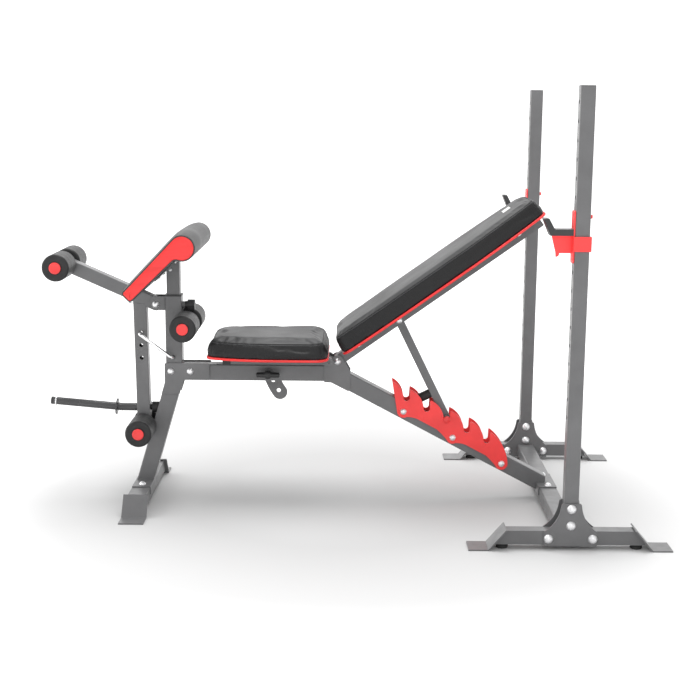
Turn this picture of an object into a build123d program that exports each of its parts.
from build123d import *
from math import asin, cos, radians, sin
import os

# Adjustable weight bench with barbell uprights, curl desk and leg lever.
# X runs from the leg lever to the uprights, Y across the bench, Z up from the floor, in mm.
# Square tubes are 40 and 50 mm; plates that face the tubes are 4 or 5 mm thick.

TUBE = 40                 # small square tube
BEAM = 50                 # large square tube
WALL = 2
PLATE = 4

UPRIGHT_X = 629.5         # centre of both uprights
UPRIGHT_Y = 471.5
UPRIGHT_TOP = 1264
HOLE_TOP = 1223
HOLE_PITCH = 50
HOLE_COUNT = 18
HOLE_R = 6

FOOT_TOP = 54             # top of the foot tubes
FOOT_LOW = 14             # their underside, above the floor
FOOT_HALF = 181.5         # half length of the rear foot at its top edge
TIP_REACH = 102           # from there to the tip of the end plate
CROSS_WIDTH = 54          # crossbeam and front foot tube
FRONT_FOOT_X = -623
FRONT_FOOT_HALF = 201.5

BEAM_TOP = 424            # top of the level beam
BEAM_FRONT = -551
BEND = (-33, BEAM_TOP)    # where the beam turns down
SLOPE = 27.8              # of the inclined beam
LEG_LEAN = 16.6
POST_X = -526             # curl desk post
POST_TOP = 634
SADDLE_T = 3

BACK_PIVOT = (-24, 436.5)
BACK_ANGLE = 35.6
SEAT_PIVOT = (-50, 440)
SEAT_HOLES = (192.2, 203.2, 214.2)
SEAT_ARC = 190
STRUT_TOP = (163, 566)
NOTCH_1 = (190.4, 324)
NOTCH_STEP = 70.9
NOTCH_COUNT = 5
NOTCH_R = 9.5
NOTCH_SLOPE = -27.9
STRUT_NOTCH = 2           # third notch, counted from zero

LEVER_PIVOT = (-579, 609)
ROLLER_AXES = {"mid": (-485, 551), "upper": (-857, 731), "lower": (-623, 229)}
ROLLER_R = 40.5
ROLLER_IN = 27
ROLLER_OUT = 137.5
AXLE_R = 12.5
HOOK_Z = HOLE_TOP - 6 * HOLE_PITCH
DESK_ROLL = (-472.7, 801.2)
DESK_ANGLE = 44.3         # of the desk's underside
DESK_TAPER = 2.35         # its upper face is steeper by this
DESK_HALF = 214

BOLT = 5                  # shank radius of the through bolts
BOLT_HOLE = 5.3

os.makedirs("parts", exist_ok=True)


def side(y=0):
    """Drawing plane across the bench at this Y; an extrusion goes towards -Y."""
    return Plane.XZ.offset(-y)


def bar(start, end, across, deep, corner, mode=Mode.ADD):
    """Rounded rectangular bar between two points, `across` being its width along Y."""
    run = Vector(*end) - Vector(*start)
    with BuildSketch(Plane(origin=start, x_dir=(0, 1, 0), z_dir=run)) as profile:
        RectangleRounded(across, deep, corner)
    extrude(profile.sketch, amount=run.length, mode=mode)


def tube(start, end, size, wall=WALL):
    """Square tube between two points, open at both ends."""
    bar(start, end, size, size, 4)
    bar(start, end, size - 2 * wall, size - 2 * wall, 2, Mode.SUBTRACT)


def rod(start, end, radius, mode=Mode.ADD):
    """Round bar between two points."""
    run = Vector(*end) - Vector(*start)
    with BuildSketch(Plane(origin=start, z_dir=run)) as profile:
        Circle(radius)
    extrude(profile.sketch, amount=run.length, mode=mode)


def cross_holes(points, radius, low=-520, high=520):
    """Holes along Y through everything between two Y values."""
    with BuildSketch(side(high)) as profile:
        with Locations(*points):
            Circle(radius)
    extrude(profile.sketch, amount=high - low, mode=Mode.SUBTRACT)


def dome_mid(head, dome):
    """Middle of a spherical cap's edge: how far out of its base, and how far off its axis."""
    inset = (head ** 2 - dome ** 2) / (2 * dome)
    radius = inset + dome
    half = asin(head / radius) / 2
    return radius * cos(half) - inset, radius * sin(half)


def capped_bolt(origin, along, low, high, shank, head, dome):
    """Through bolt with a domed cap at each end; low and high are where the caps sit."""
    across = (1, 0, 0) if along[0] == 0 else (0, 1, 0)
    out, off = dome_mid(head, dome)
    with BuildSketch(Plane(origin=origin, x_dir=along, z_dir=across)) as half:
        with BuildLine():
            ThreePointArc((low - dome, 0), (low - out, off), (low, head))
            Polyline((low, head), (low, shank), (high, shank), (high, head))
            ThreePointArc((high, head), (high + out, off), (high + dome, 0))
            Line((high + dome, 0), (low - dome, 0))
        make_face()
    revolve(half.sketch, axis=Axis(origin, along))


def bent_strip(plane, points, radius, thick, width, bend_side=Side.LEFT, mode=Mode.ADD):
    """Bent flat strip: its line drawn on the plane, extruded equally both ways."""
    with BuildSketch(plane) as edge:
        with BuildLine():
            FilletPolyline(*points, radius=radius)
            offset(amount=thick, side=bend_side)
        make_face()
    extrude(edge.sketch, amount=width / 2, both=True, mode=mode)


def end_plate(plane, half_length):
    """Foot end: a strip down the sloping tube end, then flat along the floor to the tip."""
    tip = half_length + TIP_REACH
    slope_foot = half_length + 45.3
    points = ((half_length - 4, FOOT_TOP + 4), (slope_foot, 0), (tip, 0))
    bent_strip(plane, points, 5, PLATE, 74)


def foot_tube(plane, half_length, width):
    """Foot tube whose ends slope outwards to the floor, with a plate over each end."""
    low_half = half_length + 31.1
    with BuildSketch(plane) as outline:
        with BuildLine():
            Polyline((-half_length, FOOT_TOP), (half_length, FOOT_TOP),
                     (low_half, FOOT_LOW), (-low_half, FOOT_LOW), close=True)
        make_face()
    extrude(outline.sketch, amount=width / 2, both=True)
    inner = Plane(origin=plane.from_local_coords(Vector(-low_half, 34, 0)), z_dir=plane.x_dir)
    with BuildSketch(inner) as hollow:
        if width > TUBE:
            RectangleRounded(FOOT_TOP - FOOT_LOW - 4, width - 4, 2)
        else:
            RectangleRounded(width - 4, FOOT_TOP - FOOT_LOW - 4, 2)
    extrude(hollow.sketch, amount=2 * low_half, mode=Mode.SUBTRACT)


def back_point(u, w):
    """A point (X, Z) from its distance along and above the backrest rail."""
    a = radians(BACK_ANGLE)
    return (BACK_PIVOT[0] + u * cos(a) - w * sin(a), BACK_PIVOT[1] + u * sin(a) + w * cos(a))


def polar(center, radius, angle):
    """A point at a distance and angle from a centre."""
    return (center[0] + radius * cos(radians(angle)), center[1] + radius * sin(radians(angle)))


def seat_hole(index):
    """Centre of one of the seat's height holes."""
    return polar(SEAT_PIVOT, SEAT_ARC, SEAT_HOLES[index])


def notch(index):
    """Centre of one ladder notch."""
    return polar(NOTCH_1, index * NOTCH_STEP, NOTCH_SLOPE)


BACK = Plane(origin=(BACK_PIVOT[0], 0, BACK_PIVOT[1]),
             x_dir=(cos(radians(BACK_ANGLE)), 0, sin(radians(BACK_ANGLE))), z_dir=(0, -1, 0))
GUSSET_BOLTS = ((UPRIGHT_X, 118), (UPRIGHT_X, 70), (UPRIGHT_X - 61.5, 32), (UPRIGHT_X + 61.5, 32))
FRONT_BOLTS = ((-536, 402), (-476.5, 402))
LADDER_BOLTS = ((181, 281.3), (334.7, 199.8), (488.4, 117.3))
SADDLE_BOLTS_Y = {"rear": 59, "front": 80}
PIN = notch(STRUT_NOTCH)

# ---------------------------------------------------------------- uprights and rear feet

with BuildPart() as uprights:
    for y in (-UPRIGHT_Y, UPRIGHT_Y):
        tube((UPRIGHT_X, y, FOOT_TOP), (UPRIGHT_X, y, UPRIGHT_TOP), TUBE)
    row_mid = HOLE_TOP - (HOLE_COUNT - 1) * HOLE_PITCH / 2
    with BuildSketch(Plane.YZ.offset(UPRIGHT_X)) as holes:
        with Locations((0, row_mid)):
            with GridLocations(2 * UPRIGHT_Y, HOLE_PITCH, 2, HOLE_COUNT):
                Circle(HOLE_R)
    extrude(holes.sketch, amount=TUBE, both=True, mode=Mode.SUBTRACT)
    cross_holes(GUSSET_BOLTS[:2], BOLT_HOLE)
uprights.part.label = "uprights"
export_step(uprights.part, "parts/uprights.step")

with BuildPart() as upright_plugs:
    for y in (-UPRIGHT_Y, UPRIGHT_Y):
        bar((UPRIGHT_X, y, UPRIGHT_TOP - 14), (UPRIGHT_X, y, UPRIGHT_TOP), 35.6, 35.6, 1.8)
        bar((UPRIGHT_X, y, UPRIGHT_TOP), (UPRIGHT_X, y, UPRIGHT_TOP + 2), 39, 39, 4)
upright_plugs.part.label = "upright_plugs"
export_step(upright_plugs.part, "parts/upright_plugs.step")

with BuildPart() as rear_feet:
    for y in (-UPRIGHT_Y, UPRIGHT_Y):
        center = Plane(origin=(UPRIGHT_X, y, 0), x_dir=(1, 0, 0), z_dir=(0, -1, 0))
        foot_tube(center, FOOT_HALF, TUBE)
        end_plate(center, FOOT_HALF)
        end_plate(Plane(origin=(UPRIGHT_X, y, 0), x_dir=(-1, 0, 0), z_dir=(0, 1, 0)), FOOT_HALF)
        for x in (-187.5, 187.5):
            rod((UPRIGHT_X + x, y, FOOT_LOW - 2), (UPRIGHT_X + x, y, FOOT_LOW + 4), 4.3, Mode.SUBTRACT)
    cross_holes(GUSSET_BOLTS[2:], BOLT_HOLE)
rear_feet.part.label = "rear_feet"
export_step(rear_feet.part, "parts/rear_feet.step")

with BuildPart() as levelers:
    for y in (-UPRIGHT_Y, UPRIGHT_Y):
        for x in (UPRIGHT_X - 187.5, UPRIGHT_X + 187.5):
            with BuildSketch(Plane(origin=(x, y, 0), x_dir=(1, 0, 0), z_dir=(0, -1, 0))) as half:
                with BuildLine():
                    Polyline((0, 0), (15, 0), (17, 2), (17, 9), (14, FOOT_LOW - 2), (8, FOOT_LOW))
                    Polyline((8, FOOT_LOW), (4, FOOT_LOW), (4, FOOT_LOW + 12), (0, FOOT_LOW + 12), (0, 0))
                make_face()
            revolve(half.sketch, axis=Axis((x, y, 0), (0, 0, 1)))
levelers.part.label = "levelers"
export_step(levelers.part, "parts/levelers.step")


def rear_gusset(y):
    """Flared plate that ties an upright to its foot, from y - PLATE to y."""
    with BuildSketch(side(y)) as outline:
        with BuildLine():
            Polyline((UPRIGHT_X - 74, 52), (UPRIGHT_X - 74, 11), (UPRIGHT_X + 74, 11), (UPRIGHT_X + 74, 52))
            ThreePointArc((UPRIGHT_X + 74, 52), (UPRIGHT_X + 45, 80), (UPRIGHT_X + 29, 122))
            Polyline((UPRIGHT_X + 29, 122), (UPRIGHT_X + 27, 134), (UPRIGHT_X - 27, 134),
                     (UPRIGHT_X - 29, 122))
            ThreePointArc((UPRIGHT_X - 29, 122), (UPRIGHT_X - 45, 80), (UPRIGHT_X - 74, 52))
        make_face()
        fillet(outline.vertices().group_by(Axis.Y)[-1], radius=6)
        fillet(outline.vertices().group_by(Axis.Y)[0], radius=4)
    extrude(outline.sketch, amount=PLATE)


with BuildPart() as rear_gussets:
    rear_gusset(UPRIGHT_Y + TUBE / 2 + PLATE)
    rear_gusset(-UPRIGHT_Y - TUBE / 2)
    cross_holes(GUSSET_BOLTS, BOLT_HOLE)
rear_gussets.part.label = "rear_gussets"
export_step(rear_gussets.part, "parts/rear_gussets.step")

with BuildPart() as crossbeam:
    reach = UPRIGHT_Y - TUBE / 2 - PLATE
    with BuildSketch(side(reach)) as profile:
        with Locations((UPRIGHT_X, (FOOT_TOP + FOOT_LOW) / 2)):
            RectangleRounded(CROSS_WIDTH, FOOT_TOP - FOOT_LOW, 4)
            RectangleRounded(CROSS_WIDTH - 4, FOOT_TOP - FOOT_LOW - 4, 2, mode=Mode.SUBTRACT)
    extrude(profile.sketch, amount=2 * reach)
    rear_gusset(UPRIGHT_Y - TUBE / 2)
    rear_gusset(-UPRIGHT_Y + TUBE / 2 + PLATE)
    cross_holes(GUSSET_BOLTS, BOLT_HOLE)
    for y in (-SADDLE_BOLTS_Y["rear"], SADDLE_BOLTS_Y["rear"]):
        rod((UPRIGHT_X + 2, y, 5), (UPRIGHT_X + 2, y, 60), 4.3, Mode.SUBTRACT)
crossbeam.part.label = "crossbeam"
export_step(crossbeam.part, "parts/crossbeam.step")

with BuildPart() as foot_bolts:
    for y in (-UPRIGHT_Y, UPRIGHT_Y):
        for x, z in GUSSET_BOLTS:
            grip = TUBE / 2 + PLATE
            capped_bolt((x, y, z), (0, 1, 0), -grip, grip, BOLT, 13.5, 10)
    top = FOOT_TOP + SADDLE_T
    for x, y in ((UPRIGHT_X + 2, SADDLE_BOLTS_Y["rear"]), (FRONT_FOOT_X + 1, SADDLE_BOLTS_Y["front"])):
        for sign in (-1, 1):
            capped_bolt((x, sign * y, 0), (0, 0, 1), FOOT_LOW, top, 4, 10.5, 9)
foot_bolts.part.label = "foot_bolts"
export_step(foot_bolts.part, "parts/foot_bolts.step")

# ---------------------------------------------------------------- bench beams


def incline_top(x):
    """Height of the inclined beam's upper face."""
    return BEND[1] - (x - BEND[0]) * sin(radians(SLOPE)) / cos(radians(SLOPE))


MITRE = BEAM * sin(radians(SLOPE / 2)) / cos(radians(SLOPE / 2))
SADDLE_X = UPRIGHT_X - CROSS_WIDTH / 2 - SADDLE_T

with BuildPart() as main_tube:
    with BuildSketch(side()) as outline:
        with BuildLine():
            Polyline((BEAM_FRONT, BEAM_TOP), BEND, (BEND[0] - MITRE, BEAM_TOP - BEAM),
                     (BEAM_FRONT, BEAM_TOP - BEAM), close=True)
        make_face()
    extrude(outline.sketch, amount=BEAM / 2, both=True)
    fillet(main_tube.edges().filter_by(Axis.X), radius=4)
    mid = BEAM_TOP - BEAM / 2
    bar((BEAM_FRONT + 2, 0, mid), (BEND[0] + 10, 0, mid), BEAM - 4, BEAM - 4, 2, Mode.SUBTRACT)
    cross_holes(FRONT_BOLTS, BOLT_HOLE, -30, 30)
    cross_holes([seat_hole(0)], 6, -30, 30)
    rod((POST_X, 0, BEAM_TOP - 6), (POST_X, 0, BEAM_TOP + 1), 8, Mode.SUBTRACT)
main_tube.part.label = "main_tube"
export_step(main_tube.part, "parts/main_tube.step")

with BuildPart() as incline_tube:
    end_x = UPRIGHT_X - 2
    with BuildSketch(side()) as outline:
        with BuildLine():
            Polyline(BEND, (end_x, incline_top(end_x)), (end_x, FOOT_TOP + SADDLE_T),
                     (SADDLE_X, FOOT_TOP + SADDLE_T), (SADDLE_X, incline_top(SADDLE_X) - 57),
                     (BEND[0] - MITRE, BEAM_TOP - BEAM), close=True)
        make_face()
    extrude(outline.sketch, amount=BEAM / 2, both=True)
    fall = Vector(cos(radians(SLOPE)), 0, -sin(radians(SLOPE)))
    drop = Vector(-sin(radians(SLOPE)), 0, -cos(radians(SLOPE)))
    start = Vector(BEND[0], 0, BEND[1]) + drop * (BEAM / 2)
    slant = incline_tube.edges().filter_by(lambda e: abs(e.tangent_at(0.5).dot(fall)) > 0.999)
    fillet(slant, radius=4)
    bar(start - fall * 30, start + fall * 655, BEAM - 4, BEAM - 4, 2, Mode.SUBTRACT)
    cross_holes(LADDER_BOLTS, BOLT_HOLE, -30, 30)
    flange = (SADDLE_X, FOOT_TOP - 24)
    corner = (SADDLE_X, FOOT_TOP + SADDLE_T)
    far = (UPRIGHT_X + CROSS_WIDTH / 2, FOOT_TOP + SADDLE_T)
    bent_strip(side(), (flange, corner, far), 2, SADDLE_T, 150, Side.RIGHT)
    for y in (-SADDLE_BOLTS_Y["rear"], SADDLE_BOLTS_Y["rear"]):
        rod((UPRIGHT_X + 2, y, 50), (UPRIGHT_X + 2, y, 60), 4.3, Mode.SUBTRACT)
incline_tube.part.label = "incline_tube"
export_step(incline_tube.part, "parts/incline_tube.step")

with BuildPart() as pivot_plates:
    with BuildSketch(side(BEAM / 2 + PLATE)) as outline:
        with BuildLine():
            Polyline((-64.6, 440), (-64.6, 372), (BEND[0] - MITRE + 2, 371))
            Polyline((BEND[0] - MITRE + 2, 371), (14.5, 341.5), (16.5, 405))
            Line((16.5, 405), (-4.5, 441))
            ThreePointArc((-4.5, 441), (-22, 456.4), (-38, 449.5))
            ThreePointArc((-38, 449.5), (-48, 454.5), (-64.6, 440))
        make_face()
        fillet(outline.vertices().group_by(Axis.Y)[0], radius=6)
        with Locations(BACK_PIVOT, SEAT_PIVOT):
            Circle(BOLT_HOLE, mode=Mode.SUBTRACT)
    extrude(outline.sketch, amount=PLATE)
    mirror(about=Plane.XZ)
pivot_plates.part.label = "pivot_plates"
export_step(pivot_plates.part, "parts/pivot_plates.step")

# ---------------------------------------------------------------- notched ladder


def tooth_flank(index):
    """Tip of a tooth and the convex flank down to its notch; the first tooth is lower."""
    x, z = notch(index)
    tip = (x - 45.5, z + 53) if index == 0 else (x - 52, z + 60)
    bulge = (x - 25, z + 38) if index == 0 else (x - 28, z + 44)
    return tip, bulge


def ladder_wave(first, second):
    """Points round the lower edge between two bolts: it drops to the boss round each of them."""
    along = (Vector(*second) - Vector(*first)).normalized()
    below = Vector(along.Y, -along.X)

    def place(origin, run, drop):
        spot = Vector(*origin) + along * run + below * drop
        return (spot.X, spot.Y)

    return (place(first, 6, 18.5), place(first, 24, 6.8), place(first, 52, 0),
            place(second, -58, 0), place(second, -31, 7.5), place(second, -6, 18.5),
            place(second, 0, -6), place(first, 0, -6))


with BuildPart() as ladder_plates:
    with BuildSketch(side(BEAM / 2 + 5)) as outline:
        with BuildLine():
            for i in range(NOTCH_COUNT):
                x, z = notch(i)
                tip, bulge = tooth_flank(i)
                ThreePointArc(tip, bulge, (x - NOTCH_R, z))
                ThreePointArc((x - NOTCH_R, z), (x, z - NOTCH_R), (x + NOTCH_R, z))
                following = tooth_flank(i + 1)[0]
                Line((x + NOTCH_R, z), following)
            last = tooth_flank(NOTCH_COUNT)[0]
            ThreePointArc(last, (488, 180), (507.5, 121))
            Line((507.5, 121), LADDER_BOLTS[2])
            Polyline(LADDER_BOLTS[2], LADDER_BOLTS[0], (161.5, 281.3), tooth_flank(0)[0])
        make_face()
        tips = [v for v in outline.vertices() if any(
            (Vector(v.X, v.Y) - Vector(*tooth_flank(i)[0])).length < 0.1
            for i in range(NOTCH_COUNT + 1))]
        fillet(tips, radius=2.2)
        for first, second in zip(LADDER_BOLTS, LADDER_BOLTS[1:]):
            wave = ladder_wave(first, second)
            with BuildLine():
                ThreePointArc(*wave[:3])
                Line(wave[2], wave[3])
                ThreePointArc(*wave[3:6])
                Polyline(*wave[5:], wave[0])
            make_face()
        with Locations(*LADDER_BOLTS):
            Circle(19.5)
        with Locations(*LADDER_BOLTS):
            Circle(BOLT_HOLE, mode=Mode.SUBTRACT)
    extrude(outline.sketch, amount=5)
    mirror(about=Plane.XZ)
ladder_plates.part.label = "ladder_plates"
export_step(ladder_plates.part, "parts/ladder_plates.step")

# ---------------------------------------------------------------- front leg, foot and post

LEG_RUN = Vector(sin(radians(LEG_LEAN)), 0, cos(radians(LEG_LEAN)))
LEG_FOOT = Vector(-621, 0, FOOT_TOP + SADDLE_T)
BUMPER_Z = 283            # where the leg lever rests against the front leg


def leg_front(z):
    """X of the front leg's forward face at this height."""
    lean = radians(LEG_LEAN)
    return LEG_FOOT.X + (z - LEG_FOOT.Z) * sin(lean) / cos(lean) - BEAM / 2 / cos(lean)


with BuildPart() as front_leg:
    tube(LEG_FOOT - LEG_RUN * 30, LEG_FOOT + LEG_RUN * 360, BEAM)
    with BuildSketch(side()) as keep:
        with Locations((-570, (BEAM_TOP - BEAM + FOOT_TOP + SADDLE_T) / 2)):
            Rectangle(300, BEAM_TOP - BEAM - FOOT_TOP - SADDLE_T)
    extrude(keep.sketch, amount=40, both=True, mode=Mode.INTERSECT)
    near = FRONT_FOOT_X - CROSS_WIDTH / 2
    outer = FRONT_FOOT_X + CROSS_WIDTH / 2 + SADDLE_T
    line = ((near, FOOT_TOP + SADDLE_T), (outer, FOOT_TOP + SADDLE_T), (outer, FOOT_TOP - 22))
    bent_strip(side(), line, 2, SADDLE_T, 210, Side.RIGHT)
    for y in (-SADDLE_BOLTS_Y["front"], SADDLE_BOLTS_Y["front"]):
        rod((FRONT_FOOT_X + 1, y, 50), (FRONT_FOOT_X + 1, y, 60), 4.3, Mode.SUBTRACT)
front_leg.part.label = "front_leg"
export_step(front_leg.part, "parts/front_leg.step")

with BuildPart() as front_foot:
    lengthwise = Plane(origin=(FRONT_FOOT_X, 0, 0), x_dir=(0, 1, 0), z_dir=(1, 0, 0))
    foot_tube(lengthwise, FRONT_FOOT_HALF, CROSS_WIDTH)
    end_plate(lengthwise, FRONT_FOOT_HALF)
    end_plate(Plane(origin=(FRONT_FOOT_X, 0, 0), x_dir=(0, -1, 0), z_dir=(-1, 0, 0)), FRONT_FOOT_HALF)
    for y in (-SADDLE_BOLTS_Y["front"], SADDLE_BOLTS_Y["front"]):
        rod((FRONT_FOOT_X + 1, y, 5), (FRONT_FOOT_X + 1, y, 60), 4.3, Mode.SUBTRACT)
front_foot.part.label = "front_foot"
export_step(front_foot.part, "parts/front_foot.step")

with BuildPart() as front_gussets:
    with BuildSketch(side(BEAM / 2 + PLATE)) as outline:
        with BuildLine():
            Polyline((-555, 368), (-555, 428), (-417, 428), (-417, 379), (-484, 379))
            ThreePointArc((-484, 379), (-493.5, 375.5), (-499, 367))
            Polyline((-499, 367), (-510, 331.6), (-565.5, 331.6), (-555, 368))
        make_face()
        fillet(outline.vertices().group_by(Axis.Y)[-1], radius=5)
        with Locations(*FRONT_BOLTS):
            Circle(BOLT_HOLE, mode=Mode.SUBTRACT)
    extrude(outline.sketch, amount=PLATE)
    mirror(about=Plane.XZ)
front_gussets.part.label = "front_gussets"
export_step(front_gussets.part, "parts/front_gussets.step")

with BuildPart() as front_post:
    tube((POST_X, 0, BEAM_TOP), (POST_X, 0, POST_TOP), BEAM)
    cross_holes([(-528, 446)], 6, -30, 0)
    rod((POST_X + 25, 0, 605), (POST_X + 34, 0, 605), 11)
    rod((POST_X + 15, 0, 605), (POST_X + 36, 0, 605), 6.3, Mode.SUBTRACT)
    axle_x, axle_z = ROLLER_AXES["mid"]
    rod((axle_x, -21, axle_z), (axle_x, 21, axle_z), 16)
    with BuildSketch(side(21)) as web:
        with Locations(((axle_x + POST_X + BEAM / 2) / 2, axle_z)):
            Rectangle(axle_x - POST_X - BEAM / 2, 24)
    extrude(web.sketch, amount=42)
    rod((axle_x, -22, axle_z), (axle_x, 22, axle_z), AXLE_R + 0.2, Mode.SUBTRACT)
front_post.part.label = "front_post"
export_step(front_post.part, "parts/front_post.step")

with BuildPart() as post_bush:
    bar((POST_X, 0, POST_TOP - 16), (POST_X, 0, POST_TOP), 45.6, 45.6, 1.8)
    bar((POST_X, 0, POST_TOP), (POST_X, 0, POST_TOP + 4), 52, 52, 5)
    bar((POST_X, 0, POST_TOP - 17), (POST_X, 0, POST_TOP + 5), 40.8, 40.8, 4, Mode.SUBTRACT)
post_bush.part.label = "post_bush"
export_step(post_bush.part, "parts/post_bush.step")

with BuildPart() as lever_clevis:
    cheek = 24.5
    with BuildSketch(Plane.XY.offset(591.5)) as profile:
        with Locations((-571.5, 0)):
            Rectangle(41, 2 * cheek)
        with Locations((-574.5, 0)):
            Rectangle(41, 2 * cheek - 8, mode=Mode.SUBTRACT)
    extrude(profile.sketch, amount=42)
    fillet(lever_clevis.edges().filter_by(Axis.Y).group_by(Axis.X)[0], radius=8)
    cross_holes([LEVER_PIVOT], 6.3, -30, 30)
lever_clevis.part.label = "lever_clevis"
export_step(lever_clevis.part, "parts/lever_clevis.step")

with BuildPart() as cross_bolts:
    capped_bolt((LEVER_PIVOT[0], 0, LEVER_PIVOT[1]), (0, 1, 0), -24.5, 24.5, 6, 11, 8)
    for x, z in FRONT_BOLTS:
        capped_bolt((x, 0, z), (0, 1, 0), -29, 29, BOLT, 10.5, 8)
    for x, z in LADDER_BOLTS:
        capped_bolt((x, 0, z), (0, 1, 0), -30, 30, BOLT, 10.5, 8)
    capped_bolt((BACK_PIVOT[0], 0, BACK_PIVOT[1]), (0, 1, 0), -29, 29, BOLT, 10.5, 7)
    rod((SEAT_PIVOT[0], -51, SEAT_PIVOT[1]), (SEAT_PIVOT[0], 51, SEAT_PIVOT[1]), BOLT)
cross_bolts.part.label = "cross_bolts"
export_step(cross_bolts.part, "parts/cross_bolts.step")

# ---------------------------------------------------------------- rollers


def foam_roller(axis_name, low):
    """Foam sleeve around its axle, from low to low + its length along Y."""
    x, z = ROLLER_AXES[axis_name]
    length = ROLLER_OUT - ROLLER_IN
    with BuildSketch(Plane(origin=(x, low, z), x_dir=(0, 1, 0), z_dir=(1, 0, 0))) as half:
        with Locations((length / 2, (ROLLER_R + AXLE_R + 0.4) / 2)):
            Rectangle(length, ROLLER_R - AXLE_R - 0.4)
        fillet(half.vertices().group_by(Axis.Y)[-1], radius=5)
    revolve(half.sketch, axis=Axis((x, low, z), (0, 1, 0)))


def axle(axis_name):
    """Axle tube across the bench for one pair of rollers."""
    x, z = ROLLER_AXES[axis_name]
    rod((x, -ROLLER_OUT, z), (x, ROLLER_OUT, z), AXLE_R)
    rod((x, -ROLLER_OUT - 1, z), (x, ROLLER_OUT + 1, z), AXLE_R - 2, Mode.SUBTRACT)


def axle_caps(axis_name):
    """Round cap plugged into each end of an axle tube."""
    x, z = ROLLER_AXES[axis_name]
    for sign in (-1, 1):
        rod((x, sign * (ROLLER_OUT - 14), z), (x, sign * (ROLLER_OUT + 0.5), z), AXLE_R - 2.2)
        rod((x, sign * (ROLLER_OUT + 0.5), z), (x, sign * (ROLLER_OUT + 4), z), 17.5)


with BuildPart() as mid_axle:
    axle("mid")
mid_axle.part.label = "mid_axle"
export_step(mid_axle.part, "parts/mid_axle.step")

with BuildPart() as mid_axle_caps:
    axle_caps("mid")
mid_axle_caps.part.label = "mid_axle_caps"
export_step(mid_axle_caps.part, "parts/mid_axle_caps.step")

for name in ROLLER_AXES:
    for place, low in (("near", -ROLLER_OUT), ("far", ROLLER_IN)):
        with BuildPart() as roller:
            foam_roller(name, low)
        roller.part.label = f"roller_{name}_{place}"
        export_step(roller.part, f"parts/roller_{name}_{place}.step")

# ---------------------------------------------------------------- leg lever

UPPER = ROLLER_AXES["upper"]
LOWER = ROLLER_AXES["lower"]
ARM_DIR = Vector(UPPER[0] - LEVER_PIVOT[0], 0, UPPER[1] - LEVER_PIVOT[1]).normalized()
SHANK_TOP = Vector(-629, 0, 630)
SHANK_DIR = Vector(LOWER[0] - SHANK_TOP.X, 0, LOWER[1] - SHANK_TOP.Z).normalized()
LEVER_HOLES = [(-627.3, 520), (-626.5, 481), (-625.8, 442)]

with BuildPart() as lever_frame:
    pivot = Vector(LEVER_PIVOT[0], 0, LEVER_PIVOT[1])
    arm_end = Vector(UPPER[0], 0, UPPER[1]) + ARM_DIR * 19
    shank_end = Vector(LOWER[0], 0, LOWER[1]) + SHANK_DIR * 22
    with BuildSketch(side()) as outline:
        with BuildLine():
            Line((pivot.X, pivot.Z), (arm_end.X, arm_end.Z))
        trace(line_width=TUBE)
        with BuildLine() as shank_line:
            Line((SHANK_TOP.X, SHANK_TOP.Z), (shank_end.X, shank_end.Z))
        trace(shank_line.line, line_width=TUBE)
        with Locations(LEVER_PIVOT):
            Circle(TUBE / 2)
    extrude(outline.sketch, amount=TUBE / 2, both=True)
    long_edges = lever_frame.edges().filter_by(lambda e: e.length > 60 and abs(e.tangent_at(0.5).Y) < 0.1)
    fillet(long_edges, radius=3)
    bar(pivot + ARM_DIR * 24, arm_end - ARM_DIR * 3, TUBE - 4, TUBE - 4, 2, Mode.SUBTRACT)
    bar(SHANK_TOP + SHANK_DIR * 30, shank_end - SHANK_DIR * 3, TUBE - 4, TUBE - 4, 2, Mode.SUBTRACT)
    cross_holes([LEVER_PIVOT], 6.3, -30, 30)
    cross_holes([UPPER, LOWER], AXLE_R + 0.2, -30, 30)
    cross_holes(LEVER_HOLES, 6, -30, 30)
    rod((-660, 0, BUMPER_Z), (-630, 0, BUMPER_Z), 12.3, Mode.SUBTRACT)
    rod((-620, 0, BUMPER_Z), (-595, 0, BUMPER_Z), 4.3, Mode.SUBTRACT)
lever_frame.part.label = "lever_frame"
export_step(lever_frame.part, "parts/lever_frame.step")

with BuildPart() as lever_axles:
    axle("upper")
    axle("lower")
lever_axles.part.label = "lever_axles"
export_step(lever_axles.part, "parts/lever_axles.step")

with BuildPart() as lever_axle_caps:
    axle_caps("upper")
    axle_caps("lower")
lever_axle_caps.part.label = "lever_axle_caps"
export_step(lever_axle_caps.part, "parts/lever_axle_caps.step")

PEG_END = Vector(-906.2, 0, 301.4)
PEG_BEND = Vector(-692, 0, BUMPER_Z)

with BuildPart() as weight_peg:
    with BuildLine() as peg_path:
        FilletPolyline((-634, 0, BUMPER_Z), PEG_BEND, PEG_END, radius=120)
    with BuildSketch(Plane(origin=(-634, 0, BUMPER_Z), z_dir=(-1, 0, 0))) as section:
        Circle(12)
    sweep(section.sketch, path=peg_path.wire())
    tilt = (PEG_END - PEG_BEND).normalized()
    rod(PEG_BEND + tilt * 14, PEG_BEND + tilt * 18, 25)
weight_peg.part.label = "weight_peg"
export_step(weight_peg.part, "parts/weight_peg.step")

with BuildPart() as peg_plug:
    with BuildSketch(Plane(origin=PEG_END, z_dir=tilt)) as disc:
        Circle(12)
    extrude(disc.sketch, amount=6)
    fillet(peg_plug.edges().group_by(Axis.X)[0], radius=2)
peg_plug.part.label = "peg_plug"
export_step(peg_plug.part, "parts/peg_plug.step")

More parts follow.
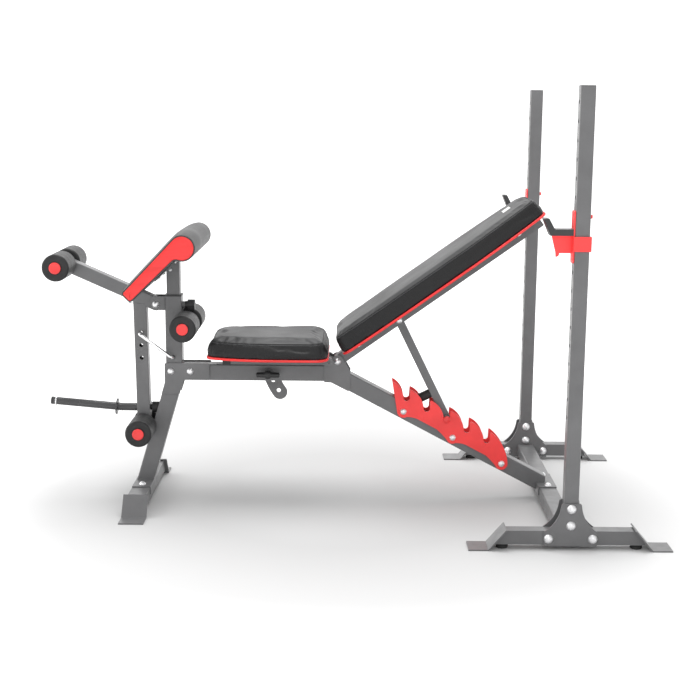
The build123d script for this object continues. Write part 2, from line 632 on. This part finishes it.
with BuildPart() as lever_bumper:
    rod((-603.6, 0, BUMPER_Z), (-597, 0, BUMPER_Z), 9)
    rod((-597, 0, BUMPER_Z), (-573, 0, BUMPER_Z), 17)
    rod((-620, 0, BUMPER_Z), (-603.6, 0, BUMPER_Z), 4)
    with BuildSketch(side()) as bevel:
        with BuildLine():
            high = leg_front(BUMPER_Z + 24) - 0.7
            low = leg_front(BUMPER_Z - 24) - 0.7
            Polyline((low, BUMPER_Z - 24), (high, BUMPER_Z + 24), (-560, BUMPER_Z + 24),
                     (-560, BUMPER_Z - 24), close=True)
        make_face()
    extrude(bevel.sketch, amount=20, both=True, mode=Mode.SUBTRACT)
lever_bumper.part.label = "lever_bumper"
export_step(lever_bumper.part, "parts/lever_bumper.step")

with BuildPart() as lock_rod:
    with BuildLine() as rod_path:
        FilletPolyline((-627.3, -22, 520), (-627.3, -45, 520), (-528, -45, 446), (-528, -12, 446), radius=8)
    with BuildSketch(Plane(origin=(-627.3, -22, 520), z_dir=(0, -1, 0))) as section:
        Circle(5)
    sweep(section.sketch, path=rod_path.wire())
lock_rod.part.label = "lock_rod"
export_step(lock_rod.part, "parts/lock_rod.step")

# ---------------------------------------------------------------- curl desk

DESK_U = Vector(cos(radians(DESK_ANGLE)), sin(radians(DESK_ANGLE)))
DESK_N = Vector(-sin(radians(DESK_ANGLE)), cos(radians(DESK_ANGLE)))
DESK_C = Vector(*DESK_ROLL)
DESK_LENGTH = 222
DESK_ROLL_R = 39
DESK_LOW = -9.6           # underside of the slab, measured from the roll's centre
NOTCH_DEEP = 52           # room in the slab's low end for the lever's arm
DESK_BOLT = (-533.2, 715.1)


def desk_place(along, over):
    """A point (X, Z) this far down the slab from the roll's centre and this far above it."""
    place = DESK_C - DESK_U * along + DESK_N * over
    return (place.X, place.Y)


def desk_outline(y, inset=0):
    """J-shaped section of the desk: a slab, thinner at its low end, that ends in a roll."""
    roll = DESK_ROLL_R - inset
    low = DESK_LOW + inset
    end = DESK_LENGTH - inset
    lean = radians(DESK_TAPER)
    start = (roll * sin(lean), roll * cos(lean))
    end_top = start[1] - (end - start[0]) * sin(lean) / cos(lean)
    with BuildSketch(side(y)) as outline:
        with BuildLine():
            Polyline(desk_place(*start), desk_place(end, end_top), desk_place(end, low),
                     desk_place(0, low), desk_place(*start))
        make_face()
        corners = [v for v in outline.vertices()
                   if (Vector(v.X, v.Y) - DESK_C).dot(DESK_U) < 1 - end]
        fillet(corners, radius=9 - inset)
        with Locations((DESK_C.X, DESK_C.Y)):
            Circle(roll)
        throat = Vector(*desk_place((roll ** 2 - low ** 2) ** 0.5, low))
        fillet([v for v in outline.vertices() if (Vector(v.X, v.Y) - throat).length < 1], radius=14)
    return outline.sketch


with BuildPart() as desk_pad:
    extrude(desk_outline(DESK_HALF), amount=2 * DESK_HALF)
    middle = desk_place(DESK_LENGTH - NOTCH_DEEP + 45, DESK_LOW - 20)
    base = Plane(origin=(middle[0], 0, middle[1]), x_dir=(DESK_U.X, 0, DESK_U.Y),
                 z_dir=(DESK_N.X, 0, DESK_N.Y))
    with BuildSketch(base) as notch_room:
        RectangleRounded(90, 64, 14)
    extrude(notch_room.sketch, amount=80, mode=Mode.SUBTRACT)
desk_pad.part.label = "desk_pad"
export_step(desk_pad.part, "parts/desk_pad.step")

with BuildPart() as desk_cheeks:
    extrude(desk_outline(DESK_HALF + PLATE, 4), amount=PLATE)
    mirror(about=Plane.XZ)
desk_cheeks.part.label = "desk_cheeks"
export_step(desk_cheeks.part, "parts/desk_cheeks.step")


def desk_under(along, drop):
    """A point below the desk's flat underside, in X and Z."""
    place = desk_place(along, DESK_LOW - drop)
    return (place[0], 0, place[1])


with BuildPart() as desk_bracket:
    bar(desk_under(152, 2), desk_under(56, 2), 150, 4, 1.9)
    with Locations(desk_under(140, 2), desk_under(68, 2)):
        with Locations((0, -55, 0), (0, 55, 0)):
            Cylinder(2.6, 14, rotation=(0, -DESK_ANGLE, 0), mode=Mode.SUBTRACT)
desk_bracket.part.label = "desk_bracket"
export_step(desk_bracket.part, "parts/desk_bracket.step")

with BuildPart() as desk_post:
    tube((POST_X, 0, 468), (POST_X, 0, 800), TUBE)
    with BuildSketch(side(30)) as above:
        with BuildLine():
            a, b = desk_under(200, 4), desk_under(0, 4)
            Polyline((a[0], a[2]), (b[0], b[2]), (b[0], 900), (a[0], 900), close=True)
        make_face()
    extrude(above.sketch, amount=60, mode=Mode.SUBTRACT)
    cross_holes([DESK_BOLT], 4.3, -25, 25)
desk_post.part.label = "desk_post"
export_step(desk_post.part, "parts/desk_post.step")

with BuildPart() as desk_bolts:
    capped_bolt((DESK_BOLT[0], 0, DESK_BOLT[1]), (0, 1, 0), -20, 20, 4, 5.5, 3.5)
    for along in (68, 140):
        for y in (-55, 55):
            sideways = Vector(0, y, 0)
            rod(sideways + desk_under(along, 7), sideways + desk_under(along, 4), 5)
            rod(sideways + desk_under(along, 5), sideways + desk_under(along, 0.2), 2.5)
desk_bolts.part.label = "desk_bolts"
export_step(desk_bolts.part, "parts/desk_bolts.step")

with BuildPart() as post_knob:
    tip = POST_X + TUBE / 2 + 0.8
    rod((tip, 0, 605), (POST_X + 50, 0, 605), 6)
    rod((POST_X + 34.5, 0, 605), (POST_X + 44, 0, 605), 12)
    with BuildSketch(Plane(origin=(POST_X + 32 + 10, 0, 605), z_dir=(1, 0, 0))) as lobes:
        Circle(15.5)
        with PolarLocations(15.2, 12):
            Circle(1.6)
    extrude(lobes.sketch, amount=22)
    fillet(post_knob.edges().group_by(Axis.X)[-1], radius=0.8)
post_knob.part.label = "post_knob"
export_step(post_knob.part, "parts/post_knob.step")

# ---------------------------------------------------------------- backrest

RAIL_END = 748
RAIL_LOW = -16.5
RAIL_TOP = 17.5
RAIL_WALL = 3
BOARD_T = 7
BACK_TABS = (75, 655)
BACK_SCREWS_Y = (-95, -60, 60, 95)
BACK_TOP = 79.5           # top of the back pad above the pivot line
BACK_PAD = (38, 768)      # start and end of the back pad along the rail
PAD_HALF = 150            # half width between the two tapers
LOW_TAPER = (300, 128)    # where the low taper starts, and the half width it ends with
HEAD_TAPER = (460, 103)


def back_level(height):
    """Plane parallel to the backrest, this far above its pivot line."""
    return Plane(origin=BACK.from_local_coords(Vector(0, height, 0)), x_dir=BACK.x_dir, z_dir=BACK.y_dir)


def taper_arc(start, end, end_half, side_sign, grow):
    """Long gentle arc from the full half width to a smaller one at the end of the pad."""
    drop = (PAD_HALF - end_half) / 4
    full = side_sign * (PAD_HALF + grow)
    middle = side_sign * (PAD_HALF + grow - drop)
    ThreePointArc((start, full), ((start + end) / 2, middle), (end, side_sign * (end_half + grow)))


def back_outline(grow):
    """Back pad seen square on: widest in the lower half, narrower towards both ends."""
    low, head = BACK_PAD[0] - grow, BACK_PAD[1] + grow
    with BuildSketch() as outline:
        with BuildLine():
            for sign in (-1, 1):
                taper_arc(LOW_TAPER[0], low, LOW_TAPER[1], sign, grow)
                Line((LOW_TAPER[0], sign * (PAD_HALF + grow)), (HEAD_TAPER[0], sign * (PAD_HALF + grow)))
                taper_arc(HEAD_TAPER[0], head, HEAD_TAPER[1], sign, grow)
            Line((low, -LOW_TAPER[1] - grow), (low, LOW_TAPER[1] + grow))
            Line((head, -HEAD_TAPER[1] - grow), (head, HEAD_TAPER[1] + grow))
        make_face()
        fillet(outline.vertices().group_by(Axis.X)[0], radius=40)
        fillet(outline.vertices().group_by(Axis.X)[-1], radius=34)
    return outline.sketch


def back_screws(height, length, radius, mode=Mode.ADD):
    """One round bar at each screw of the two tabs, square to the backrest."""
    with BuildSketch(back_level(height)) as spots:
        for start in BACK_TABS:
            with Locations(*[(start + 15, y) for y in BACK_SCREWS_Y]):
                Circle(radius)
    extrude(spots.sketch, amount=length, mode=mode)


with BuildPart() as back_rail:
    with BuildSketch(BACK) as outline:
        with BuildLine():
            Polyline((8, RAIL_LOW), (RAIL_END, RAIL_LOW), (RAIL_END, RAIL_TOP), (0, RAIL_TOP), (-10, 8),
                     (-10, 0))
            ThreePointArc((-10, 0), (-6.5, -10.5), (8, RAIL_LOW))
        make_face()
    extrude(outline.sketch, amount=22, both=True)
    ridge = [e for e in back_rail.edges().filter_by(lambda e: e.length > 700)
             if BACK.to_local_coords(e.center()).Y > RAIL_TOP - 1]
    fillet(ridge, radius=3)
    with BuildSketch(BACK) as channel:
        with Locations(((RAIL_END - 10) / 2, RAIL_TOP - RAIL_WALL - 20)):
            Rectangle(RAIL_END + 40, 40)
    extrude(channel.sketch, amount=19, both=True, mode=Mode.SUBTRACT)
    cross_holes([BACK_PIVOT, STRUT_TOP], BOLT_HOLE, -30, 30)
    with BuildSketch(back_level(RAIL_TOP - RAIL_WALL)) as tabs:
        for start in BACK_TABS:
            with Locations((start + 15, 0)):
                RectangleRounded(30, 220, 8)
    extrude(tabs.sketch, amount=RAIL_WALL)
    back_screws(RAIL_TOP - 8, 12, 3.2, Mode.SUBTRACT)
back_rail.part.label = "back_rail"
export_step(back_rail.part, "parts/back_rail.step")

with BuildPart() as back_fasteners:
    back_screws(RAIL_TOP - 6.5, 3.5, 6)
    back_screws(RAIL_TOP - 6.5, 12, 3)
    capped_bolt((STRUT_TOP[0], 0, STRUT_TOP[1]), (0, 1, 0), -22.2, 22.2, BOLT, 10.5, 7)
back_fasteners.part.label = "back_fasteners"
export_step(back_fasteners.part, "parts/back_fasteners.step")

with BuildPart() as back_board:
    extrude(back_level(RAIL_TOP) * back_outline(1), amount=BOARD_T)
    back_screws(RAIL_TOP - 1, 7, 3.2, Mode.SUBTRACT)
back_board.part.label = "back_board"
export_step(back_board.part, "parts/back_board.step")

with BuildPart() as back_pad:
    extrude(back_level(RAIL_TOP + BOARD_T) * back_outline(0), amount=BACK_TOP - RAIL_TOP - BOARD_T)
    rim = back_pad.faces().sort_by(Axis(BACK.origin, BACK.y_dir))[-1].edges()
    fillet(rim, radius=12)
back_pad.part.label = "back_pad"
export_step(back_pad.part, "parts/back_pad.step")

with BuildPart() as back_rail_plug:
    bar(BACK.from_local_coords(Vector(RAIL_END - 14, -1, 0)),
        BACK.from_local_coords(Vector(RAIL_END, -1, 0)), 37.6, 30.6, 1.5)
    bar(BACK.from_local_coords(Vector(RAIL_END, 0.5, 0)),
        BACK.from_local_coords(Vector(RAIL_END + 2.5, 0.5, 0)), 44, 34, 3)
back_rail_plug.part.label = "back_rail_plug"
export_step(back_rail_plug.part, "parts/back_rail_plug.step")

# ---------------------------------------------------------------- support strut

STRUT_A = Vector(STRUT_TOP[0], 0, STRUT_TOP[1])
STRUT_B = Vector(PIN[0], 0, PIN[1])
STRUT_DIR = (STRUT_B - STRUT_A).normalized()
STRUT_SIDE = Vector(STRUT_DIR.Z, 0, -STRUT_DIR.X)
GRIP_FOOT = STRUT_A + STRUT_DIR * 252.7

with BuildPart() as strut_tube:
    bar(STRUT_A, STRUT_B, 25, 25, 3)
    for end in (STRUT_A, STRUT_B):
        rod(end - Vector(0, 12.5, 0), end + Vector(0, 12.5, 0), 12.5)
    bar(STRUT_A + STRUT_DIR * 16, STRUT_B - STRUT_DIR * 16, 21, 21, 1.5, Mode.SUBTRACT)
    cross_holes([STRUT_TOP], BOLT_HOLE, -20, 20)
    cross_holes([PIN], 8.1, -20, 20)
    rod(GRIP_FOOT + STRUT_SIDE * 12, GRIP_FOOT + STRUT_SIDE * 46, 6)
strut_tube.part.label = "strut_tube"
export_step(strut_tube.part, "parts/strut_tube.step")

with BuildPart() as strut_pin:
    rod((PIN[0], -37, PIN[1]), (PIN[0], 37, PIN[1]), 8)
strut_pin.part.label = "strut_pin"
export_step(strut_pin.part, "parts/strut_pin.step")

with BuildPart() as strut_pin_caps:
    for sign in (-1, 1):
        out, off = dome_mid(11, 3)
        with BuildSketch(Plane(origin=(PIN[0], 0, PIN[1]), x_dir=(0, sign, 0), z_dir=(1, 0, 0))) as half:
            with BuildLine():
                Polyline((37.1, 0), (37.1, 8.1), (30.6, 8.1), (30.6, 11), (38, 11))
                ThreePointArc((38, 11), (38 + out, off), (41, 0))
                Line((41, 0), (37.1, 0))
            make_face()
        revolve(half.sketch, axis=Axis((PIN[0], 0, PIN[1]), (0, 1, 0)))
strut_pin_caps.part.label = "strut_pin_caps"
export_step(strut_pin_caps.part, "parts/strut_pin_caps.step")

with BuildPart() as strut_grip:
    rod(GRIP_FOOT + STRUT_SIDE * 12.5, GRIP_FOOT + STRUT_SIDE * 52, 14)
    fillet(strut_grip.edges().filter_by(GeomType.CIRCLE), radius=2.5)
    rod(GRIP_FOOT + STRUT_SIDE * 12, GRIP_FOOT + STRUT_SIDE * 46, 6.1, Mode.SUBTRACT)
strut_grip.part.label = "strut_grip"
export_step(strut_grip.part, "parts/strut_grip.step")

# ---------------------------------------------------------------- seat

SEAT_UNDER = 457          # underside of the seat board
SEAT_TOP = 519
SEAT_REAR = -52
SEAT_FRONT = -417
SEAT_HALF = 152.5
SEAT_NOSE = 112           # half width at the front end
RAIL_FRONT = -350         # front end of the two rails under the seat
SEAT_SCREWS = ((-330, -75), (-330, 75), (-130, -105), (-130, 105))


def seat_outline(grow):
    """Seat shape seen from above: straight at the rear, tapering to the nose."""
    with BuildSketch() as outline:
        with BuildLine():
            rear = SEAT_REAR + grow
            nose = SEAT_FRONT - grow
            Line((rear, -SEAT_HALF - grow), (rear, SEAT_HALF + grow))
            Line((rear, SEAT_HALF + grow), (-230, SEAT_HALF + grow))
            ThreePointArc((-230, SEAT_HALF + grow), (-325, 141 + grow), (nose, SEAT_NOSE + grow))
            Line((nose, SEAT_NOSE + grow), (nose, -SEAT_NOSE - grow))
            ThreePointArc((nose, -SEAT_NOSE - grow), (-325, -141 - grow), (-230, -SEAT_HALF - grow))
            Line((-230, -SEAT_HALF - grow), (rear, -SEAT_HALF - grow))
        make_face()
        fillet(outline.vertices().group_by(Axis.X)[0], radius=38)
        fillet(outline.vertices().group_by(Axis.X)[-1], radius=40)
    return outline.sketch


with BuildPart() as seat_frame:
    for sign in (-1, 1):
        with BuildSketch(side(42 * sign + 10)) as rail:
            with BuildLine():
                Polyline((-50, 453), (-66, SEAT_UNDER), (RAIL_FRONT, SEAT_UNDER), (RAIL_FRONT, 430))
                Polyline((RAIL_FRONT, 430), (-66, 430), (-50, 427))
                ThreePointArc((-50, 427), (-37, 440), (-50, 453))
            make_face()
        extrude(rail.sketch, amount=20)
    for x in (-330, -130):
        reach = 95 if x == -330 else 125
        with BuildSketch(Plane.XY.offset(SEAT_UNDER - 3)) as strap:
            with Locations((x, 0)):
                RectangleRounded(30, 2 * reach, 8)
        extrude(strap.sketch, amount=3)
    for x, y in SEAT_SCREWS:
        rod((x, y, SEAT_UNDER - 5), (x, y, SEAT_UNDER + 1), 3.2, Mode.SUBTRACT)
    cross_holes([SEAT_PIVOT], BOLT_HOLE, -60, 60)
    with BuildSketch(side(32)) as outline:
        with BuildLine():
            CenterArc(SEAT_PIVOT, SEAT_ARC, SEAT_HOLES[0] - 6, SEAT_HOLES[2] - SEAT_HOLES[0] + 8)
        trace(line_width=46)
        with Locations(polar(SEAT_PIVOT, SEAT_ARC, SEAT_HOLES[2] + 2)):
            Circle(23)
        with Locations((-238, 437)):
            Rectangle(46, 38)
        for i in range(3):
            with Locations(seat_hole(i)):
                Circle(6.5, mode=Mode.SUBTRACT)
    extrude(outline.sketch, amount=4.5)
seat_frame.part.label = "seat_frame"
export_step(seat_frame.part, "parts/seat_frame.step")

with BuildPart() as seat_rail_caps:
    for y in (-42, 42):
        bar((RAIL_FRONT - 24, y, 442.5), (RAIL_FRONT, y, 442.5), 22, 29, 2)
seat_rail_caps.part.label = "seat_rail_caps"
export_step(seat_rail_caps.part, "parts/seat_rail_caps.step")

with BuildPart() as seat_screws:
    for x, y in SEAT_SCREWS:
        rod((x, y, SEAT_UNDER - 6.5), (x, y, SEAT_UNDER - 3), 6)
        rod((x, y, SEAT_UNDER - 5), (x, y, SEAT_UNDER + 5), 3)
seat_screws.part.label = "seat_screws"
export_step(seat_screws.part, "parts/seat_screws.step")

with BuildPart() as seat_board:
    extrude(Location((0, 0, SEAT_UNDER)) * seat_outline(1), amount=BOARD_T)
    for x, y in SEAT_SCREWS:
        rod((x, y, SEAT_UNDER - 1), (x, y, SEAT_UNDER + 5.5), 3.2, Mode.SUBTRACT)
seat_board.part.label = "seat_board"
export_step(seat_board.part, "parts/seat_board.step")

with BuildPart() as seat_pad:
    floor_z = SEAT_UNDER + BOARD_T
    extrude(Location((0, 0, floor_z)) * seat_outline(0), amount=SEAT_TOP - floor_z)
    fillet(seat_pad.faces().sort_by(Axis.Z)[-1].edges(), radius=20)
seat_pad.part.label = "seat_pad"
export_step(seat_pad.part, "parts/seat_pad.step")

# ---------------------------------------------------------------- seat pull pin

LOCK_X, LOCK_Z = seat_hole(0)

with BuildPart() as pin_collar:
    rod((LOCK_X, -BEAM / 2 - 12, LOCK_Z), (LOCK_X, -BEAM / 2, LOCK_Z), 13)
    rod((LOCK_X, -BEAM / 2 - 13, LOCK_Z), (LOCK_X, -BEAM / 2 + 1, LOCK_Z), 6, Mode.SUBTRACT)
    fillet(pin_collar.edges().filter_by(GeomType.CIRCLE).group_by(Axis.Y)[0], radius=1.5)
pin_collar.part.label = "pin_collar"
export_step(pin_collar.part, "parts/pin_collar.step")

with BuildPart() as seat_pin:
    rod((LOCK_X, -60, LOCK_Z), (LOCK_X, 23, LOCK_Z), 5.5)
seat_pin.part.label = "seat_pin"
export_step(seat_pin.part, "parts/seat_pin.step")

with BuildPart() as seat_pin_handle:
    out, off = dome_mid(8, 2.5)
    with BuildSketch(Plane(origin=(LOCK_X, -62, LOCK_Z), x_dir=(1, 0, 0), z_dir=(0, -1, 0))) as half:
        with BuildLine():
            Line((-36, 0), (36, 0))
            ThreePointArc((36, 0), (33.5 + out, off), (33.5, 8))
            ThreePointArc((33.5, 8), (0, 8.8), (-33.5, 8))
            ThreePointArc((-33.5, 8), (-33.5 - out, off), (-36, 0))
        make_face()
    revolve(half.sketch, axis=Axis((LOCK_X, -62, LOCK_Z), (1, 0, 0)))
    out, off = dome_mid(12, 5)
    with BuildSketch(Plane(origin=(LOCK_X, 0, LOCK_Z), x_dir=(0, -1, 0), z_dir=(1, 0, 0))) as hub:
        with BuildLine():
            Polyline((72, 0), (46, 0), (46, 10), (48, 12), (67, 12))
            ThreePointArc((67, 12), (67 + out, off), (72, 0))
        make_face()
    revolve(hub.sketch, axis=Axis((LOCK_X, 0, LOCK_Z), (0, 1, 0)))
    rod((LOCK_X, -60.1, LOCK_Z), (LOCK_X, -45, LOCK_Z), 5.6, Mode.SUBTRACT)
seat_pin_handle.part.label = "seat_pin_handle"
export_step(seat_pin_handle.part, "parts/seat_pin_handle.step")

# ---------------------------------------------------------------- bar hooks

FACE_X = UPRIGHT_X - TUBE / 2
HOOK_LEVEL = HOOK_Z - 50  # underside of the hook's tray


def tray_line(back):
    """Underside of the hook's tray and the outer face of its lip, from the face plate outwards."""
    return ((back, HOOK_LEVEL), (back - 58, HOOK_LEVEL), (back - 76, HOOK_LEVEL + 42))


def hook(y, sign):
    """Barbell hook on one upright; sign is the side that carries its cheek."""
    mid = Plane(origin=(0, y, 0), x_dir=(1, 0, 0), z_dir=(0, -1, 0))
    front = FACE_X - 0.4
    with BuildSketch(Plane(origin=(front, y, HOOK_Z), x_dir=(0, 1, 0), z_dir=(-1, 0, 0))) as face:
        with Locations((0, 54)):
            RectangleRounded(38, 140, 6)
    extrude(face.sketch, amount=PLATE)
    back = front - PLATE
    bent_strip(mid, tray_line(back), 5, PLATE, 34, Side.RIGHT)
    with BuildSketch(mid) as web:
        with BuildLine():
            Polyline((back, HOOK_LEVEL), (back, HOOK_LEVEL - 48), (back - 34, HOOK_LEVEL - 48))
            ThreePointArc((back - 34, HOOK_LEVEL - 48), (back - 37, HOOK_LEVEL - 56),
                          (back - 43, HOOK_LEVEL - 58))
            Polyline((back - 43, HOOK_LEVEL - 58), (back - 44, HOOK_LEVEL - 46), (back - 56, HOOK_LEVEL),
                     (back, HOOK_LEVEL))
        make_face()
    extrude(web.sketch, amount=2.5, both=True)
    cheek = TUBE / 2 + 0.8
    level = (HOOK_LEVEL - 42, HOOK_LEVEL - 2)
    with BuildSketch(Plane.XY.offset(level[0])) as strap:
        with BuildLine():
            outer = y + sign * (cheek + PLATE)
            inner = y + sign * cheek
            rear = UPRIGHT_X + TUBE / 2 + 0.8
            Polyline((back, y + sign * 12), (back, outer), (rear + 3, outer), (rear + 3, y + sign * 8),
                     (rear, y + sign * 8), (rear, inner), (front, inner), (front, y + sign * 12),
                     close=True)
        make_face()
    extrude(strap.sketch, amount=level[1] - level[0])
    rod((front - PLATE, y, HOOK_Z), (UPRIGHT_X + TUBE / 2 + 7, y, HOOK_Z), 5.4)


def hook_liner(y):
    """Plastic sleeve over the hook's tray and lip, which keeps the bar off the steel."""
    mid = Plane(origin=(0, y, 0), x_dir=(1, 0, 0), z_dir=(0, -1, 0))
    back = FACE_X - 0.4 - PLATE
    low = HOOK_LEVEL
    with BuildSketch(mid) as section:
        with BuildLine():
            Polyline((back, low), (back, low + 17), (back - 47, low + 17), (back - 51, low + 19),
                     (back - 65.5, low + 45.5), (back - 80.8, low + 45.5), (back - 61.3, low), (back, low))
        make_face()
        fillet(section.vertices().group_by(Axis.Y)[-1], radius=2.5)
    extrude(section.sketch, amount=20, both=True)
    bent_strip(mid, tray_line(back), 5, PLATE, 34.4, Side.RIGHT, Mode.SUBTRACT)


with BuildPart() as hook_near:
    hook(-UPRIGHT_Y, -1)
hook_near.part.label = "hook_near"
export_step(hook_near.part, "parts/hook_near.step")

with BuildPart() as hook_far:
    hook(UPRIGHT_Y, 1)
hook_far.part.label = "hook_far"
export_step(hook_far.part, "parts/hook_far.step")

with BuildPart() as hook_liner_near:
    hook_liner(-UPRIGHT_Y)
hook_liner_near.part.label = "hook_liner_near"
export_step(hook_liner_near.part, "parts/hook_liner_near.step")

with BuildPart() as hook_liner_far:
    hook_liner(UPRIGHT_Y)
hook_liner_far.part.label = "hook_liner_far"
export_step(hook_liner_far.part, "parts/hook_liner_far.step")
